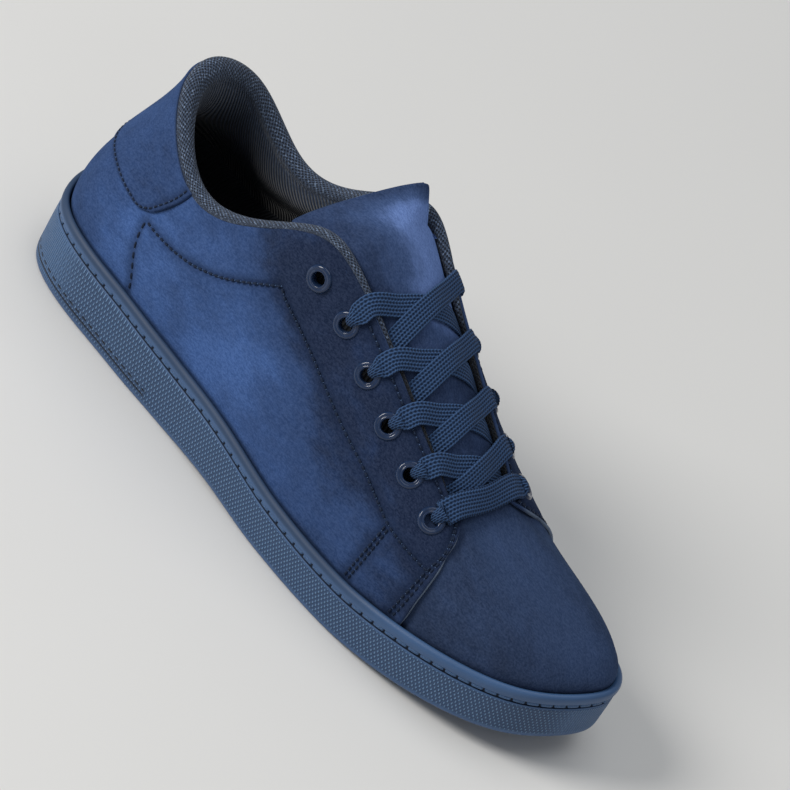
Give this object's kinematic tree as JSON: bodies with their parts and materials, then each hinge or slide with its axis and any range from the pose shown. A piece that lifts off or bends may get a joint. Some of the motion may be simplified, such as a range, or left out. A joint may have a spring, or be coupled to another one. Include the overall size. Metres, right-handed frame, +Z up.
{
  "type": "suede sneaker",
  "caption": "Low lace-up suede sneaker for the right foot: a hollow upper with laced facings, padded tongue and collar on a moulded rubber cupsole, standing empty",
  "frame": {"origin": "on the floor under the middle of the outsole's box", "axes": "+X points to the toe, -Y is the outer (lateral) side of the foot, +Z is up"},
  "size_m": [0.2736, 0.0848, 0.1182],
  "materials": {
    "suede": "brushed navy suede, matt with a soft nap",
    "rubber": "matt moulded navy rubber",
    "lace": "flat woven navy lace",
    "knit": "grey-blue ribbed knit lining",
    "eyelet": "glossy navy enamelled metal"
  },
  "bodies": {
    "root": {"cupsole": "rubber", "upper": "suede", "tongue": "suede", "insole": "knit", "laces": "lace", "heel_tab": "suede", "eyelet_lateral_1": "eyelet", "eyelet_lateral_2": "eyelet", "eyelet_lateral_3": "eyelet", "eyelet_lateral_4": "eyelet", "eyelet_lateral_5": "eyelet", "eyelet_lateral_6": "eyelet", "eyelet_medial_1": "eyelet", "eyelet_medial_2": "eyelet", "eyelet_medial_3": "eyelet", "eyelet_medial_4": "eyelet", "eyelet_medial_5": "eyelet", "eyelet_medial_6": "eyelet"}
  },
  "joints": []
}
